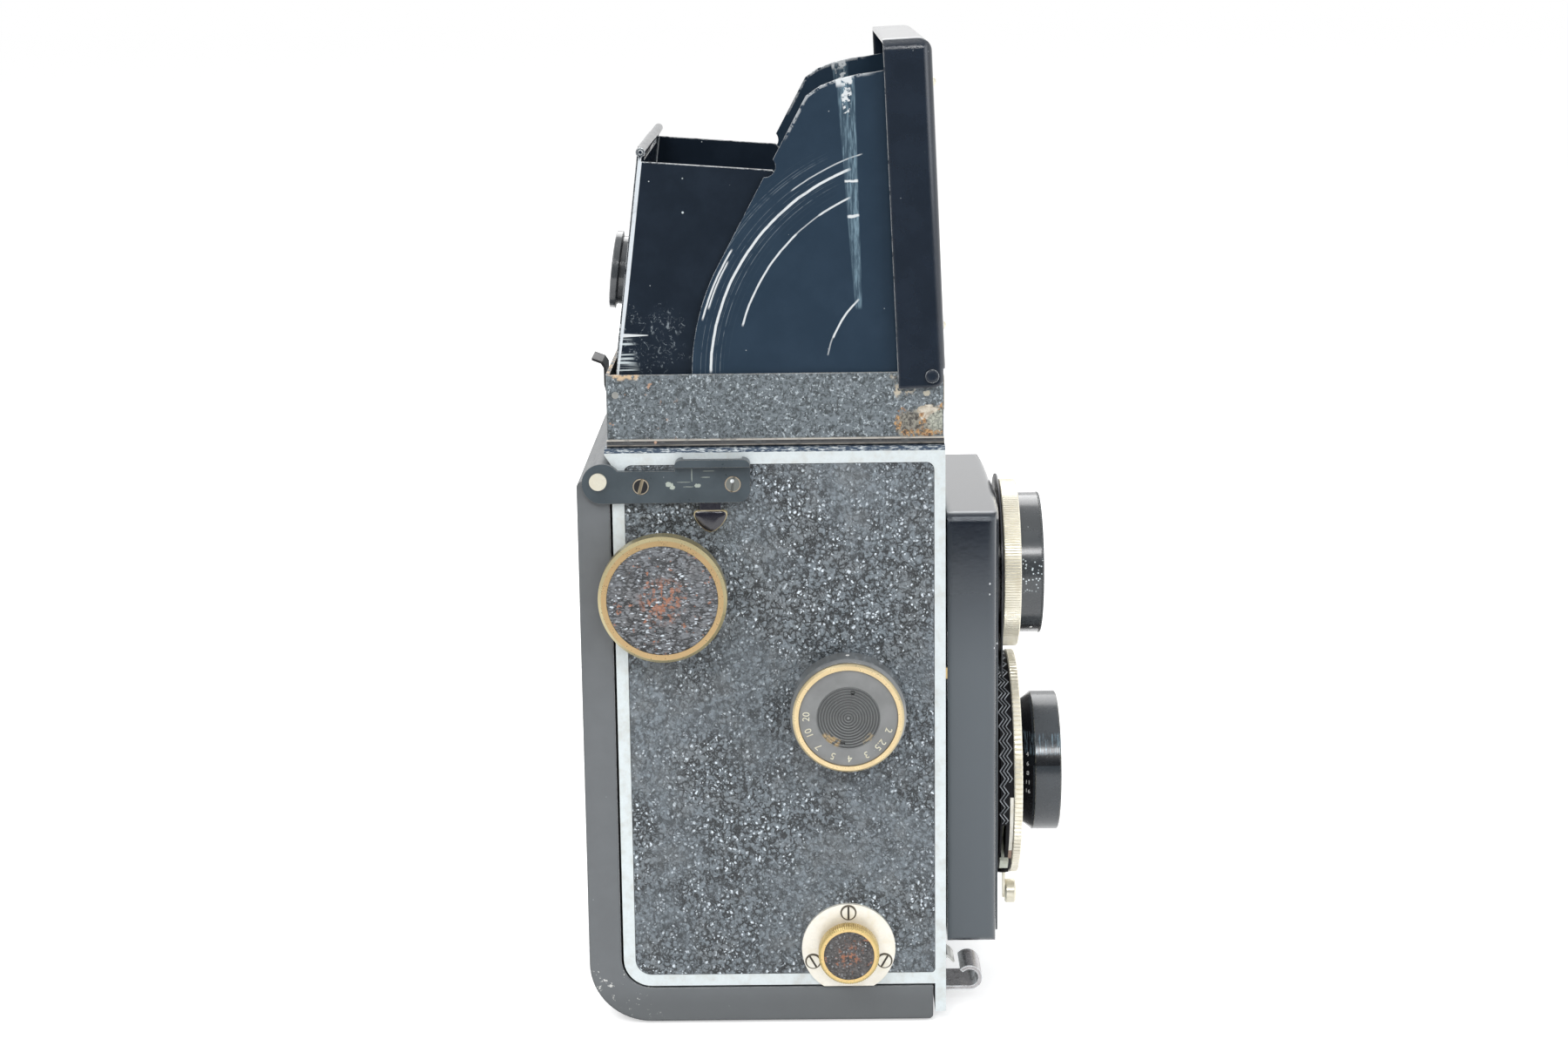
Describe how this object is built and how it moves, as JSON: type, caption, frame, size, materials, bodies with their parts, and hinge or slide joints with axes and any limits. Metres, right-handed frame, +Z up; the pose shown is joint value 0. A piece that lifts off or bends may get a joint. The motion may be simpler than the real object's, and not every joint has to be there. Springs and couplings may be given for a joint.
{
  "type": "twin lens reflex camera",
  "caption": "Boxy leather-covered camera with two stacked lenses on a sliding front, an open folding viewing hood with magnifier, side knobs and a hinged back.",
  "frame": {"origin": "mouth of the tripod thread, in the plane of the back's bottom face, on the middle plane", "axes": "+X the way the lenses look, +Z up, -Y the side with the winding and focusing knobs"},
  "size_m": [0.0943, 0.086, 0.1911],
  "materials": {
    "aluminium": "worn satin",
    "leather": "coarse pebbled grain, semi-gloss",
    "black_enamel": "glossy",
    "black_paint": "satin",
    "crinkle": "crinkled, worn",
    "nickel": "warm, lightly worn",
    "steel": "satin",
    "brass": "aged",
    "dial_grey": "satin",
    "spool_paint": "satin",
    "glass": "polished, coated",
    "ground_glass": "ground",
    "mirror": "polished",
    "ruby_glass": "polished"
  },
  "bodies": {
    "camera_body": {"body_casting": "aluminium", "leather_right": "leather", "leather_left": "leather", "light_box": "black_paint", "reflex_mirror": "mirror", "focusing_screen": "ground_glass", "film_rollers": "steel", "hinge_arms": "black_enamel", "shield_tabs": "black_enamel", "arm_screws": "steel", "feed_flange": "nickel", "flange_screws": "nickel", "name_plate": "brass", "hood_base": "crinkle", "hood_rivets": "steel", "hinge_rivets": "nickel", "latch_spring": "steel"},
    "back": {"back_cover": "black_enamel", "pressure_plate": "black_paint", "pressure_springs": "brass", "tripod_bush": "brass", "ruby_window": "ruby_glass", "back_feet": "steel"},
    "latch": {"back_latch": "black_enamel"},
    "lens_front": {"lens_standard": "black_enamel", "standard_plate": "black_enamel", "light_tubes": "black_paint", "focus_racks": "brass", "view_flange": "black_paint", "view_ring": "nickel", "view_barrel": "black_paint", "view_glass": "glass", "shutter_housing": "black_paint", "shutter_face": "black_paint", "shutter_blades": "steel", "take_barrel": "black_paint", "take_glass": "glass"},
    "focusing": {"focus_knob": "black_paint", "focus_rim": "brass", "focus_disc": "dial_grey", "focus_shaft": "steel"},
    "speed_ring": {"shutter_ring": "nickel"},
    "stop_lever": {"aperture_lever": "nickel"},
    "release_lever": {"shutter_lever": "nickel"},
    "winding": {"wind_knob": "brass", "wind_leather": "leather", "wind_shaft": "steel", "take_up_spool": "spool_paint"},
    "feed_pull": {"feed_knob": "brass", "feed_leather": "leather"},
    "take_up_pull": {"take_up_pull_knob": "brass"},
    "catch": {"hood_catch": "black_enamel"},
    "lid_pivot": {"lid_pivots": "steel"},
    "hood_lid": {"lid": "black_enamel", "lid_wings": "black_enamel", "lid_rivets": "nickel"},
    "hood_rear": {"rear_wall": "black_enamel"},
    "magnifier": {"magnifier_arm": "black_enamel", "magnifier_ring": "black_paint", "magnifier_lens": "glass"}
  },
  "joints": [
    {"name": "back_hinge", "type": "hinge", "parent": "camera_body", "child": "back", "pos_m": [-0.034, 0, 0.10855], "axis": [0, 1, 0], "range_deg": [0, 95]},
    {"name": "latch_slide", "type": "slide", "parent": "camera_body", "child": "latch", "axis": [1, 0, 0], "range_m": [0, 0.0022], "stiffness_N_per_m": 150},
    {"name": "focus_slide", "type": "slide", "parent": "camera_body", "child": "lens_front", "axis": [1, 0, 0], "range_m": [0, 0.0075]},
    {"name": "focus_turn", "type": "hinge", "parent": "camera_body", "child": "focusing", "pos_m": [0.0127, 0, 0.0636], "axis": [0, 1, 0], "range_deg": [0, 143.3]},
    {"name": "speed_ring_turn", "type": "hinge", "parent": "lens_front", "child": "speed_ring", "pos_m": [0.047, 0, 0.0411], "axis": [1, 0, 0], "range_deg": [-60, 60]},
    {"name": "stop_lever_turn", "type": "hinge", "parent": "lens_front", "child": "stop_lever", "pos_m": [0.044, 0, 0.0411], "axis": [1, 0, 0], "range_deg": [-18, 12]},
    {"name": "release_lever_turn", "type": "hinge", "parent": "lens_front", "child": "release_lever", "pos_m": [0.0454, 0, 0.0411], "axis": [1, 0, 0], "range_deg": [-8, 34], "stiffness_Nm_per_rad": 0.02},
    {"name": "winding_turn", "type": "hinge", "parent": "camera_body", "child": "winding", "pos_m": [-0.022, 0, 0.087], "axis": [0, 1, 0], "continuous": true},
    {"name": "feed_pull_slide", "type": "slide", "parent": "camera_body", "child": "feed_pull", "axis": [0, -1, 0], "range_m": [0, 0.005]},
    {"name": "take_up_pull_slide", "type": "slide", "parent": "camera_body", "child": "take_up_pull", "axis": [0, 1, 0], "range_m": [0, 0.005]},
    {"name": "catch_hinge", "type": "hinge", "parent": "camera_body", "child": "catch", "pos_m": [-0.0335, 0, 0.118], "axis": [0, -1, 0], "range_deg": [0, 8], "stiffness_Nm_per_rad": 0.02},
    {"name": "lid_fold", "type": "hinge", "parent": "camera_body", "child": "lid_pivot", "pos_m": [0.0291, 0, 0.12755], "axis": [0, 1, 0], "range_deg": [-65.65, 0]},
    {"name": "lid_close", "type": "hinge", "parent": "lid_pivot", "child": "hood_lid", "pos_m": [0.0291, 0, 0.12755], "axis": [0, 1, 0], "range_deg": [-22, 0]},
    {"name": "rear_wall_hinge", "type": "hinge", "parent": "camera_body", "child": "hood_rear", "pos_m": [-0.0306, 0, 0.1244], "axis": [0, 1, 0], "range_deg": [0, 82.95]},
    {"name": "magnifier_hinge", "type": "hinge", "parent": "hood_rear", "child": "magnifier", "pos_m": [-0.02494, 0, 0.16985], "axis": [0, 1, 0], "range_deg": [0, 262.9]}
  ],
  "couplings": [
    {"joint": "focus_turn", "follows": "focus_slide", "rad_per_m": 333.33},
    {"joint": "rear_wall_hinge", "follows": "lid_fold", "ratio": -1.2627}
  ]
}
